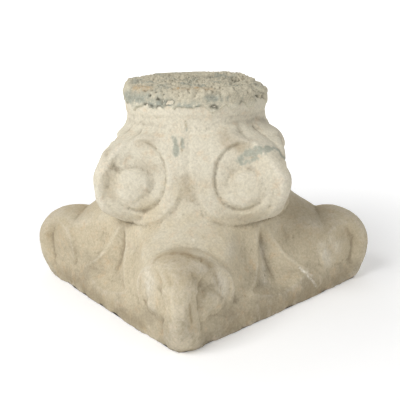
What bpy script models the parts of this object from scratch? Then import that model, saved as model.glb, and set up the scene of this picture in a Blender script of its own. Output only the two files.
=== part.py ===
"""Ionic capital in weathered limestone, standing on its abacus with the neck up.

Metres, +Z up. The origin is the middle of the abacus' underside, and the abacus' sides lie along
X and Y. The design repeats in eighths round the axis, so most of it is written for one eighth:
depth is measured out from the axis towards a side of the abacus, along is measured from the middle
of that side towards a corner, reach is measured along a diagonal and aside is square to it.
"""
import bpy
import numpy as np
from math import cos, log, pi, radians, sin, sqrt

# Abacus, a square slab with worn corners
ABACUS_SIDE = 0.430
FASCIA_HEIGHT = 0.030
FASCIA_SET = 0.003
CORNER_WEAR = 0.016

# Neck, astragal and the groove under it
BED_HEIGHT = 0.334
NECK_RADIUS = 0.1205
ASTRAGAL_RADIUS = 0.1224
ASTRAGAL_HEIGHT = 0.023
GROOVE_DEPTH = 0.0015
GROOVE_HEIGHT = 0.306

# Bell and the leaves that spread from it to the corners
LEAF_HEIGHT = 0.133
LEAF_ROOT = 0.159
LEAF_FOOT = 0.205
CREASE_REACH = 0.206
VALLEY_DEPTH = 0.018
VALLEY_HALF = 0.062

# Upper volutes: eight faces in four pairs
FACE_REACH = 0.147
EYE_ASIDE = 0.090
EYE_HEIGHT = 0.203
CREST_RADIUS = 0.074
CREST_CENTRE = 0.135
RIM_HALF = 0.0132
RIM_SWELL = 0.009
SEAM_DEPTH = 0.005
COIL_HALF = 0.094
COIL_DROP = 0.084
COIL_LEVEL = 0.222
BAND_PROUD = 0.0065
SPIRAL_DEPTH = 0.008
SPIRAL_WIDTH = 0.006
DISC_SWELL = 0.003

# Corner volutes
CORNER_FACE = 0.206
CORNER_ALONG = 0.148
CORNER_LEVEL = 0.064
CORNER_RADIUS = 0.046
NOSE_REACH = 0.306
ROLL_REACH = 0.236
ROLL_RADIUS = 0.067
CORNER_GROOVE = 0.005

# Mortar left on the neck's bed
MORTAR_RADIUS = 0.1195
MORTAR_THICKNESS = 0.0215
MORTAR_TILT = 0.45
MORTAR_THICK_SIDE = radians(150)
TOUCH_GAP = 0.0003

# Fineness of the model
RING_STEP = 0.0025
COLUMNS = 320
VOXEL = 0.0034
FACES = 8600

HALF = ABACUS_SIDE / 2
ROOT2 = sqrt(2.0)


def curve(x, points):
    """Smooth line through a few (x, y) points, level with its neighbours' slopes."""
    pts = sorted(points)
    px = np.array([p[0] for p in pts])
    py = np.array([p[1] for p in pts])
    slope = np.gradient(py, px)
    x = np.clip(x, px[0], px[-1])
    i = np.clip(np.searchsorted(px, x) - 1, 0, len(px) - 2)
    h = px[i + 1] - px[i]
    t = (x - px[i]) / h
    return ((2 * t**3 - 3 * t**2 + 1) * py[i] + (t**3 - 2 * t**2 + t) * h * slope[i]
            + (3 * t**2 - 2 * t**3) * py[i + 1] + (t**3 - t**2) * h * slope[i + 1])


def step(x, low, high):
    t = np.clip((x - low) / (high - low), 0.0, 1.0)
    return t * t * (3 - 2 * t)


def soft_min(a, b, k):
    h = np.maximum(k - np.abs(a - b), 0.0) / k
    return np.minimum(a, b) - h * h * k / 4


def soft_max(a, b, k):
    return -soft_min(-a, -b, k)


def side_depth(z):
    """Depth of the leaves' side faces, a long cavetto from the bell to the abacus."""
    swell = LEAF_FOOT - LEAF_ROOT
    return curve(z, [
        (0.0, HALF - FASCIA_SET), (FASCIA_HEIGHT, HALF - FASCIA_SET - 0.002),
        (FASCIA_HEIGHT + 0.012, LEAF_FOOT), (0.058, LEAF_ROOT + 0.78 * swell),
        (0.080, LEAF_ROOT + 0.50 * swell), (0.101, LEAF_ROOT + 0.25 * swell),
        (LEAF_HEIGHT, LEAF_ROOT), (0.145, LEAF_ROOT - 0.008), (0.170, LEAF_ROOT - 0.013),
        (0.200, LEAF_ROOT - 0.018), (0.235, NECK_RADIUS + 0.012), (0.270, NECK_RADIUS + 0.002),
        (0.290, NECK_RADIUS), (BED_HEIGHT + 0.02, NECK_RADIUS)])


def diagonal_reach(z):
    """Reach of the leaves' backs, down to the crease where the corner volutes start."""
    return curve(z, [
        (0.0, HALF * ROOT2 - CORNER_WEAR), (0.050, 0.284), (0.090, 0.262),
        (0.115, CREASE_REACH + 0.024), (0.131, CREASE_REACH), (0.142, CREASE_REACH - 0.015),
        (0.155, 0.171), (0.170, 0.158), (0.190, 0.148), (0.215, 0.140), (0.250, 0.130),
        (0.275, NECK_RADIUS + 0.002), (0.290, NECK_RADIUS), (BED_HEIGHT + 0.02, NECK_RADIUS)])


def body_radius(turn, z):
    """Radius of neck, bell, leaves and abacus; turn is the angle from the nearest side."""
    side = side_depth(z)
    toward = step(side * np.tan(turn), 0.045, 0.105) * step(z, 0.030, 0.042)
    toward = toward * step(-z, -0.150, -0.112)
    side = side + np.maximum(CORNER_FACE - 0.004 - side, 0) * toward
    ratio = np.maximum(ROOT2 * side / diagonal_reach(z), 1.012)
    power = np.clip(log(2) / np.log(ratio), 2.0, 60.0)
    radius = side / (np.cos(turn)**power + np.sin(turn)**power)**(1 / power)
    along = side * np.tan(turn)
    half = curve(z, [
        (FASCIA_HEIGHT - 0.001, 0.0002), (0.035, 0.50 * VALLEY_HALF), (0.041, 0.80 * VALLEY_HALF),
        (0.047, VALLEY_HALF), (0.058, 0.79 * VALLEY_HALF), (0.082, 0.44 * VALLEY_HALF),
        (0.101, 0.30 * VALLEY_HALF), (LEAF_HEIGHT - 0.006, 0.11 * VALLEY_HALF),
        (LEAF_HEIGHT + 0.003, 0.0002)])
    deep = curve(z, [
        (FASCIA_HEIGHT - 0.001, 0.0), (0.036, 0.4 * VALLEY_DEPTH), (0.046, 0.8 * VALLEY_DEPTH),
        (0.062, VALLEY_DEPTH), (0.080, 0.95 * VALLEY_DEPTH), (0.100, 0.7 * VALLEY_DEPTH),
        (LEAF_HEIGHT + 0.003, 0.0)])
    inside = np.clip(1 - along / half, 0.0, 1.0)
    ridge = np.exp(-((along - half - 0.004) / 0.0055)**2) * np.clip(deep / VALLEY_DEPTH, 0, 1)
    radius = radius + (0.0030 * ridge - deep * inside**0.8) / np.cos(turn)
    ring = np.clip(1 - ((z - GROOVE_HEIGHT - 0.013) / (ASTRAGAL_HEIGHT / 2))**2, 0, 1)
    radius = radius + (ASTRAGAL_RADIUS - NECK_RADIUS) * np.sqrt(ring)
    return radius - GROOVE_DEPTH * np.exp(-((z - GROOVE_HEIGHT) / 0.003)**2)


def spiral(turns, outer):
    """Radius of a volute's groove after a number of turns from its top."""
    return outer * curve(turns, [
        (0.0, 1.0), (0.06, 0.99), (0.12, 0.905), (0.20, 0.77), (0.28, 0.675), (0.36, 0.60),
        (0.45, 0.52), (0.55, 0.44), (0.70, 0.415), (0.85, 0.415), (1.0, 0.40), (1.12, 0.41),
        (1.20, 0.40), (1.30, 0.315), (1.40, 0.24), (1.60, 0.15), (2.0, 0.10)])


def spiral_relief(across, up, outer, depth, wall):
    """Relief of a spiral channel: deepest at the foot of the raised eye, it rises outwards to a
    fine incised line, and runs out where it meets itself."""
    rho = np.hypot(across, up)
    turns = np.mod(np.arctan2(-across, up) / (2 * pi), 1.0)
    sunk = [(0.83, 0.0), (0.93, 0.8), (1.0, 0.95), (1.22, 1.0), (1.32, 0.5), (1.45, 0.0)]
    line = [(0.0, 0.35), (0.20, 0.55), (0.35, 0.60), (0.50, 0.65), (0.60, 0.50), (0.72, 0.15),
            (0.95, 0.05)]
    far = outer / np.maximum(np.cos(2 * pi * (1 - turns)), 0.3)
    near = spiral(turns, outer)
    fall = curve(turns, line) * np.exp(-((rho - near) / (0.6 * wall))**2)
    for inside, outside, low in ((spiral(turns + 1, outer), near, curve(turns + 1, sunk)),
                                 (near, far, curve(turns, sunk))):
        along = np.clip((rho - inside) / (outside - inside + 1e-6), 0, 1)
        channel = low * (1 - 0.5 * along) * step(rho - inside, -0.6 * wall, 0.6 * wall)
        fall = fall + channel * (1 - step(rho - outside, -0.5 * wall, 0.5 * wall))
    return -depth * np.clip(fall, 0, 1.1)


def crest_reach(z):
    """Depth of the rim between two faces, a roll that overhangs the leaves a little."""
    size = CREST_RADIUS
    rise = (z - EYE_HEIGHT) / size
    return CREST_CENTRE + size * curve(rise, [
        (-0.90, 0.22), (-0.80, 0.46), (-0.69, 0.65), (-0.58, 0.78), (-0.45, 0.875),
        (-0.30, 0.945), (-0.10, 0.985), (0.12, 0.99), (0.28, 0.965), (0.40, 0.89), (0.57, 0.77),
        (0.73, 0.65), (0.80, 0.54), (0.88, 0.40), (0.97, 0.20), (1.08, 0.02)])


def upper_radius(turn, z, body, angle):
    """Radius of the upper volutes' faces and rims, or of the body where they have ended."""
    # The right face of the front pair is a little smaller, and the right rim fuller
    right = (np.abs(angle + pi / 8) < pi / 8).astype(float)
    fuller = RIM_SWELL * np.exp(-(angle / 0.40)**2) * np.exp(-((z - 0.212) / 0.034)**2)
    swing = pi / 4 - turn
    crest = crest_reach(z) + fuller * (z > 0.14)
    rim = RIM_HALF * curve(z, [
        (0.135, 2.2), (0.157, 1.45), (0.172, 1.17), (0.190, 1.0), (0.210, 1.05), (0.230, 1.15),
        (0.247, 1.4), (0.262, 1.6), (0.280, 1.4)])
    plane = curve(z, [
        (0.120, FACE_REACH - 0.030), (0.145, FACE_REACH - 0.012), (0.158, FACE_REACH - 0.003),
        (0.175, FACE_REACH + 0.002), (EYE_HEIGHT, FACE_REACH), (0.235, FACE_REACH - 0.006),
        (0.265, FACE_REACH - 0.016), (0.290, NECK_RADIUS + 0.002)])
    far = (np.abs(angle - pi / 8) < pi / 8) * step(swing, 0.12, 0.28)
    plane = plane + far * curve(z, [(0.210, 0.0), (0.222, 0.002), (0.235, 0.010), (0.247, 0.018),
                                    (0.258, 0.019), (0.271, 0.017), (0.283, 0.009), (0.291, 0.0)])
    proud = BAND_PROUD * (0.2 * step(-z, -0.275, -0.215) + 0.8 * step(-z, -0.225, -0.170))
    aside = plane * np.tan(swing)
    for _ in range(3):
        edge = plane - ROOT2 * rim
        limit = np.maximum(ROOT2 * crest - aside, body * np.cos(swing)) + 0.003
        front = soft_max(plane, (body + proud) * np.cos(swing), 0.006)
        front = soft_min(front, limit, 0.010)
        aside = front * np.tan(swing)
    drop = np.minimum(z - COIL_LEVEL, 0) / COIL_DROP
    below = np.hypot((aside - 0.098) / COIL_HALF, drop)
    inside = np.where(aside < 0.098, below, np.hypot((aside - 0.098) / 0.078, drop))
    cover = step((1 - inside) * COIL_DROP, -0.001, 0.005)
    cover = np.maximum(cover, step(z, 0.180, 0.212) * (aside < 0.05))
    across = aside - EYE_ASIDE - 0.002 * right
    groove = spiral_relief(across, z - EYE_HEIGHT + 0.003, 0.074 - 0.006 * right,
                           SPIRAL_DEPTH, SPIRAL_WIDTH)
    fade = step(edge - aside, -0.003, 0.004) * step(-z, -0.292, -0.276)
    away = np.hypot(across, z - EYE_HEIGHT)
    front = front + groove * fade + DISC_SWELL * step(-away, -0.034, -0.006)
    middle = np.exp(-(aside / 0.0035)**2) * step(z, 0.18, 0.20) * step(-z, -0.30, -0.28)
    front = front - 0.0020 * middle
    face = front / np.cos(swing)
    out, off = face * np.cos(turn), face * np.sin(turn)
    round_off = np.sqrt(np.clip(1 - (off / rim)**2, 0, 1))
    bead = crest - RIM_HALF * (1 - round_off) - 2.5 * np.maximum(off - rim, 0)
    shown = (crest > CREST_CENTRE + 0.001)
    radius = np.where(shown, soft_max(bead / np.cos(turn), face, 0.003), face)
    radius = radius - SEAM_DEPTH * np.exp(-((off - rim) / 0.0026)**2) * shown
    whole = body + (radius - body) * cover * step(-z, -0.298, -0.276)
    fits = (z > LEAF_HEIGHT + 0.001) & (z < 0.298) & (out > 0)
    return np.where(fits, np.maximum(whole, body), body)


def closed_mesh(name, rings):
    """Closed body through rings of points, with a flat end on the first and the last ring."""
    rows, cols = rings.shape[:2]
    verts = [tuple(p) for p in rings.reshape(-1, 3)]
    faces = []
    for r in range(rows - 1):
        a, b = r * cols, (r + 1) * cols
        for c in range(cols):
            d = (c + 1) % cols
            faces.append((a + c, a + d, b + d, b + c))
    faces.append(tuple(range(cols - 1, -1, -1)))
    faces.append(tuple((rows - 1) * cols + c for c in range(cols)))
    mesh = bpy.data.meshes.new(name)
    mesh.from_pydata(verts, [], faces)
    mesh.update()
    return mesh


def core_rings():
    """Rings of the neck, bell, upper volutes, leaves and abacus, from below the bed plane up."""
    z = np.arange(-0.008, BED_HEIGHT + 0.008, RING_STEP)
    angle = np.linspace(0, 2 * pi, COLUMNS, endpoint=False)
    fold = np.abs(np.mod(angle + pi / 4, pi / 2) - pi / 4)
    turn, level = np.meshgrid(fold, z)
    body = body_radius(turn, np.clip(level, 0, None))
    radius = upper_radius(turn, level, body, np.mod(angle + pi, 2 * pi)[None, :] - pi)
    return np.stack([radius * np.cos(angle), radius * np.sin(angle), level], axis=2)


def corner_rings(quarter):
    """Corner volute: two coil faces on the leaf's sides and a rounded rim between them."""
    around = 64
    psi = np.linspace(0, 2 * pi, around, endpoint=False)
    rings = []

    def place(depth, along, up):
        reach, aside = (depth + along) / ROOT2, (depth - along) / ROOT2
        return reach, aside, up

    for side in (1, -1):
        face = []
        for share in (0.06, 0.2, 0.35, 0.5, 0.65, 0.8, 0.92, 1.0):
            ahead = np.where(np.cos(psi) > 0, 0.70, 1.0)
            across = CORNER_RADIUS * share * np.cos(psi) * ahead
            up = CORNER_RADIUS * share * np.sin(psi)
            relief = spiral_relief(across, up, 1.09 * CORNER_RADIUS, CORNER_GROOVE, 0.004)
            bulge = 0.003 * (1 - share**2)
            reach, aside, level = place(CORNER_FACE + bulge + relief * (share < 1),
                                        CORNER_ALONG + across, CORNER_LEVEL + up)
            face.append(np.stack([reach, side * aside, level], axis=1))
        if side == 1:
            rings.extend(face)
            edge = face[-1]
            full = np.where(np.sin(psi) < 0, 0.32, 1.0)
            ahead = np.sign(np.cos(psi)) * np.abs(np.cos(psi))**full
            mid_reach = ROLL_REACH + (NOSE_REACH - ROLL_REACH) * ahead
            mid_level = CORNER_LEVEL + ROLL_RADIUS * np.sin(psi)
            for k in range(1, 16):
                tau = (k / 8 - 1) * pi / 2
                base = edge[:, 0]
                reach = base + (mid_reach - base) * np.cos(tau)**0.65
                level = edge[:, 2] + (mid_level - edge[:, 2]) * np.cos(tau)
                aside = -edge[:, 1] * np.sin(tau)
                rings.append(np.stack([reach, aside, level], axis=1))
        else:
            rings.extend(reversed(face))
    pts = np.array(rings)
    heading = -pi / 4 + quarter * pi / 2
    x = pts[..., 0] * cos(heading) - pts[..., 1] * sin(heading)
    y = pts[..., 0] * sin(heading) + pts[..., 1] * cos(heading)
    return np.stack([x, y, pts[..., 2]], axis=2)


def material(name, colour, roughness):
    mat = bpy.data.materials.new(name)
    mat.use_nodes = True
    shader = mat.node_tree.nodes["Principled BSDF"]
    shader.inputs["Base Color"].default_value = (*colour, 1)
    shader.inputs["Roughness"].default_value = roughness
    shader.inputs["Metallic"].default_value = 0.0
    return mat


def add_object(name, mesh, mat):
    obj = bpy.data.objects.new(name, mesh)
    bpy.context.scene.collection.objects.link(obj)
    mesh.materials.append(mat)
    return obj


def join_meshes(name, meshes):
    verts, faces, start = [], [], 0
    for mesh in meshes:
        verts += [tuple(v.co) for v in mesh.vertices]
        faces += [tuple(start + i for i in p.vertices) for p in mesh.polygons]
        start += len(mesh.vertices)
    whole = bpy.data.meshes.new(name)
    whole.from_pydata(verts, [], faces)
    whole.update()
    return whole


def block(name, low, high, width):
    """Plain block used to trim the beds flat."""
    h = width / 2
    ring = lambda z: [(-h, -h, z), (h, -h, z), (h, h, z), (-h, h, z)]
    mesh = closed_mesh(name, np.array([ring(low), ring(high)]))
    obj = bpy.data.objects.new(name, mesh)
    bpy.context.scene.collection.objects.link(obj)
    obj.hide_render = True
    obj.hide_viewport = False
    obj.display_type = "WIRE"
    return obj


def face_count(obj):
    bpy.context.view_layer.update()
    shown = obj.evaluated_get(bpy.context.evaluated_depsgraph_get())
    return sum(len(p.vertices) - 2 for p in shown.data.polygons)


def build_capital():
    stone = material("limestone", (0.62, 0.55, 0.42), 0.9)
    parts = [closed_mesh("core", core_rings())]
    parts += [closed_mesh("corner", corner_rings(q)) for q in range(4)]
    capital = add_object("capital", join_meshes("capital", parts), stone)
    remesh = capital.modifiers.new("one block", "REMESH")
    remesh.mode = "VOXEL"
    remesh.voxel_size = VOXEL
    remesh.adaptivity = 0.0
    soften = capital.modifiers.new("worn", "SMOOTH")
    soften.factor = 0.5
    soften.iterations = 1
    thin = capital.modifiers.new("thin", "DECIMATE")
    thin.ratio = FACES / face_count(capital)
    trim = capital.modifiers.new("beds", "BOOLEAN")
    trim.operation = "INTERSECT"
    trim.solver = "EXACT"
    trim.object = block("bed_trim", 0.0, BED_HEIGHT, 2 * ABACUS_SIDE)
    return capital


def build_mortar():
    """Crust of bedding mortar, thicker towards one side, with an uneven edge."""
    mortar = material("old mortar", (0.50, 0.48, 0.40), 0.95)
    around = 72
    angle = np.linspace(0, 2 * pi, around, endpoint=False)
    edge = MORTAR_RADIUS * (1 + 0.022 * np.sin(3 * angle + 0.6) + 0.014 * np.sin(7 * angle)
                            + 0.008 * np.sin(11 * angle + 2.0))
    low = BED_HEIGHT + TOUCH_GAP
    rings = []
    for share, rise in ((0.985, 0.0), (1.0, 0.35), (0.985, 0.8), (0.95, 1.0), (0.75, 1.02),
                        (0.5, 0.96), (0.25, 0.99), (0.08, 0.98)):
        tilt = 1 + MORTAR_TILT * np.cos(angle - MORTAR_THICK_SIDE) * share
        lump = 0.06 * np.sin(5 * angle + 9 * share) * share * (rise > 0.9)
        shelf = 0.50 * step(np.cos(angle - radians(45)), 0.76, 0.92) * step(share, 0.3, 0.8)
        level = low + MORTAR_THICKNESS * rise * (tilt + lump - shelf)
        rings.append(np.stack([edge * share * np.cos(angle), edge * share * np.sin(angle),
                               level], axis=1))
    return add_object("mortar_bed", closed_mesh("mortar_bed", np.array(rings)), mortar)


def main():
    for obj in list(bpy.data.objects):
        bpy.data.objects.remove(obj, do_unlink=True)
    build_capital()
    build_mortar()


main()
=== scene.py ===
"""Ionic capital in weathered limestone, standing on its abacus with the neck up.

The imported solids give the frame. The stone is carved again here from the same sizes, finer and with
its wear, and the crust of old mortar is laid on it. Thin smears of mortar on the stone are colour
only. Metres, +Z up, origin in the middle of the abacus' underside. Depth is measured out from the
axis towards a side of the abacus, along from the middle of that side towards a corner, reach along a
diagonal and aside square to it.
"""
from math import cos, log, pi, radians, sin, sqrt

import bpy
import numpy as np
from bpy.props import FloatProperty, FloatVectorProperty, IntProperty, PointerProperty
from mathutils import Matrix, Vector, noise


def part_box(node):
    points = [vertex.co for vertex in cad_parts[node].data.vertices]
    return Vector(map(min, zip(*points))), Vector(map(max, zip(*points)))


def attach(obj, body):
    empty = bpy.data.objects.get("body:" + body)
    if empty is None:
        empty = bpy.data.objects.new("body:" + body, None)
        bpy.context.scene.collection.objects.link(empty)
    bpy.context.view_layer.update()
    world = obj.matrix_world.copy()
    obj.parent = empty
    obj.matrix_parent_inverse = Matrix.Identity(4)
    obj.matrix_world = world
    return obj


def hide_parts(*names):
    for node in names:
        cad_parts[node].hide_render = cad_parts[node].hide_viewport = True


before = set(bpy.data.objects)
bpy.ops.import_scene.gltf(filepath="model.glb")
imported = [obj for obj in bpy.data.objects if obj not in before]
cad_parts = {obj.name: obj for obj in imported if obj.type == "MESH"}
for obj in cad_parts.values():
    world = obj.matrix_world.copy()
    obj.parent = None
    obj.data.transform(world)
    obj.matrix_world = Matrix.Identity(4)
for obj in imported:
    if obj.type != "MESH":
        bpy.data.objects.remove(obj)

bl_info = {
    "name": "Weathered ionic capital",
    "version": (1, 0, 0),
    "blender": (4, 5, 0),
    "location": "View3D > Sidebar > Capital",
    "description": "Carves a worn limestone capital with its old mortar and sets it on a pale floor",
    "category": "Add Mesh",
}

STONE_LOW, STONE_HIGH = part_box("capital")
CRUST_LOW, CRUST_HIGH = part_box("mortar_bed")
ROOT2 = sqrt(2.0)
MM = 0.001  # One millimetre
INSET = 0.0002  # How far the carved points stay inside the frame's box
RANGE = ("Value", "From Min", "From Max", "To Min", "To Max")  # A map range node's inputs


# Marks of wear and repair, of dirt, and of painted shade and painted highlights: half width, depth or
# strength, start and end. Lengths in millimetres
MARKS = {
    # Cuts and breaks, as depth in; a negative depth stands out
    "cut": [
        # Torn front corner volute: notches on its crown, a slit, the hollow under its right lobe
        (5, 3.2, (177, -206, 115), (194, -211, 106)),
        (3.5, 3.0, (209, -180, 112), (210, -172, 106)),
        (3.4, 3.0, (217, -203, 72), (218, -199, 46)),
        (4, 2.0, (201, -219, 86), (204, -221, 58)),
        (6, 1.2, (209, -166, 96), (208, -144, 83)),
        (5, 1.5, (208, -144, 83), (207, -129, 62)),
        (5, 2.0, (124, -207, 52), (160, -208, 82)),
        # What is left of its two eyes and of the knobs on its nose stands out
        (16, -6.5, (205, -154, 66), (206, -170, 54)),
        (13, -5.0, (146, -207, 56), (162, -208, 50)),
        (8, -3.5, (213, -184, 90), (214, -182, 34)),
        (8, -3.5, (184, -213, 90), (182, -214, 34)),
        (5, -3.0, (207, -216, 86), (208, -216, 78)),
        (6, -3.0, (212, -170, 86), (213, -168, 74)),
        # Feet of the abacus' left and right corners, knocked off
        (16, 3.0, (-207, -207, 0), (-207, -207, 20)),
        (16, 5.0, (207, 207, 0), (207, 207, 24)),
        # Hollow at the top of the left rim
        (6, 3.5, (3, -183, 252), (19, -178, 232)),
    ],
    # Brown dirt and painted shade
    "dirt_and_painted_shade": [
        # The arch above the front volute, its crown, and beside the rims: brown dirt, with painted
        # shade in the arch's dark band, under the ledges and beside the right rim
        (7, 0.70, (140, -198, 119), (154, -170, 127)),
        (10, 0.90, (158, -178, 131), (188, -162, 127)),
        (9, 0.95, (186, -162, 127), (200, -148, 114)),
        (4.5, 0.90, (200, -148, 114), (207, -130, 80)),
        (26, 0.60, (165, -175, 125), (200, -186, 116)),
        (16, 0.35, (196, -196, 115), (206, -196, 104)),
        (4.5, 0.35, (177, -206, 115), (194, -211, 106)),
        (3.5, 0.60, (209, -180, 112), (210, -172, 106)),
        (3, 0.35, (209, -160, 92), (208, -131, 66)),
        (2.5, 0.70, (219, -198, 77), (219, -195, 50)),
        (9, 0.60, (0, -180, 255), (15, -186, 190)),
        (10, 0.35, (20, -140, 268), (50, -130, 274)),
        (12, 0.45, (199, 6, 170), (190, 20, 240)),
        (14, 0.50, (131, -51, 278), (150, -33, 262)),
        (12, 0.35, (98, -108, 215), (110, -100, 185)),
        (11, 0.28, (34, -146, 236), (60, -136, 232)),
        (10, 0.28, (148, -50, 240), (150, -60, 215)),
        (8, 0.25, (148, -30, 180), (150, -46, 172)),
        (11, 0.40, (150, 60, 280), (165, 50, 250)),
        # Browner left volute and darker fascia; painted shade on the right volute and the right flank
        (50, 0.40, (-190, -200, 100), (-150, -170, 115)),
        (50, 0.40, (190, 190, 100), (170, 120, 120)),
        (35, 0.35, (175, 70, 130), (170, 100, 160)),
        (18, 0.35, (-150, -214, 15), (120, -214, 12)),
        (18, 0.30, (214, -120, 12), (214, 150, 12)),
        # Dark edges and hairs of the mortar smears; the dark edges are partly painted shadow of the
        # smears
        (1.6, 0.95, (74, -104, 275), (80, -104, 264)),
        (1.6, 0.95, (80, -104, 264), (77, -108, 255)),
        (1.5, 0.95, (85, -97, 274), (81, -101, 263)),
        (1.4, 0.90, (89, -98, 271), (87, -102, 258)),
        (1.4, 0.80, (81, -87, 303), (85, -88, 290)),
        (1.4, 0.60, (150, -38, 243), (170, -20, 249)),
        (1.4, 0.60, (166, -22, 258), (178, -6, 264)),
    ],
    # Thin smears of old mortar on the stone
    "film": [
        (4, 0.95, (72, -104, 277), (80, -105, 266)),
        (5.2, 0.95, (79, -106, 265), (83, -109, 255)),
        (3.4, 0.90, (83, -97, 277), (87, -99, 264)),
        (2.6, 0.60, (82, -87, 301), (84, -87, 288)),
        (6, 0.95, (148, -37, 243), (160, -28, 253)),
        (8, 1.10, (160, -28, 254), (177, -16, 260)),
        (7, 1.10, (177, -16, 260), (182, 8, 260)),
        (5, 1.00, (182, 8, 258), (190, 18, 244)),
        (4, 0.80, (152, -36, 238), (172, -22, 246)),
    ],
    # Dense grey patches in the old mortar
    "dense": [
        (11, 1.0, (-34, -119, 334), (26, -123, 336)),
        (8, 1.0, (34, -118, 330), (64, -104, 328)),
        (6, 0.8, (78, -94, 326), (96, -74, 326)),
        (8, 1.0, (-40, -100, 350), (-70, -70, 355)),
        (6, 0.9, (104, -62, 335), (112, -45, 334)),
        (10, 0.9, (60, 85, 355), (95, 50, 352)),
    ],
    # Warm lime where rust has washed in
    "warm": [
        (8, 0.9, (-4, -116, 349), (18, -113, 350)),
        (10, 0.7, (60, -80, 347), (90, -50, 346)),
    ],
    # Torn holes in the old mortar and the curls that hang at its front; they are cut in and darkened
    # with dirt and painted shade
    "torn": [
        (2.5, 0.9, (46, -114, 336), (62, -105, 330)),
        (2, 1.0, (-48, -110, 330), (-20, -118, 320)),
        (2.2, 1.0, (12, -121, 318), (40, -114, 318)),
        (1.8, 1.0, (76, -95, 322), (88, -84, 317)),
        (3, 0.9, (22, -121, 326), (50, -112, 323)),
        (4, 0.9, (55, -109, 329), (68, -102, 331)),
        (3.5, 1.0, (109, -56, 324), (112, -50, 322)),
        (4, 1.0, (121, -8, 326), (122, -2, 318)),
        (4.5, 1.0, (118, 30, 332), (117, 36, 322)),
        (5, 1.0, (112, 46, 338), (110, 50, 326)),
        (8, 1.0, (-24, -24, 360), (-8, -4, 360)),
        (9, 1.0, (-34, 30, 360), (-8, 56, 358)),
        (8, 1.0, (10, 60, 355), (30, 76, 352)),
        (6, 1.0, (50, 80, 352), (66, 86, 350)),
        (4, 0.9, (-55, -60, 356), (-30, -45, 356)),
        (4, 0.8, (30, -85, 350), (48, -62, 352)),
    ],
    # Painted highlights on the front volute's coil faces, the right volute's crescent and rim and the
    # right valley's wall, then white scratches and specks
    "chalk_and_highlight": [
        # Painted highlights where faces turn to the light
        (16, 0.36, (132, -206, 94), (136, -206, 78)),
        (12, 0.35, (208, -132, 94), (208, -122, 72)),
        (11, 0.32, (208, 99, 82), (208, 116, 52)),
        (5, 0.35, (210, 196, 82), (211, 200, 60)),
        (8, 0.25, (206, 125, 88), (209, 141, 66)),
        (10, 0.22, (164, -3, 90), (190, -22, 50)),
        # White scratches and a speck
        (1.8, 0.95, (198, 53, 54), (208, 67, 35)),
        (1.4, 0.90, (208, 67, 35), (212, 79, 18)),
        (1.6, 0.90, (203, 57, 50), (209, 74, 36)),
        (1.4, 0.90, (148, -132, 138), (148, -132, 134)),
    ],
}


def srgb(code):
    """Linear colour of an sRGB hex value."""
    parts = [(code >> shift & 255) / 255 for shift in (16, 8, 0)]
    return tuple(c / 12.92 if c <= 0.04045 else ((c + 0.055) / 1.055)**2.4 for c in parts)


def length(name, size, about):
    return FloatProperty(name=name, description=about, default=size, min=0.0, unit="LENGTH")


def colour(name, code, about):
    return FloatVectorProperty(name=name, description=about, default=srgb(code), size=3,
                               subtype="COLOR", min=0.0, max=1.0)


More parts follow.
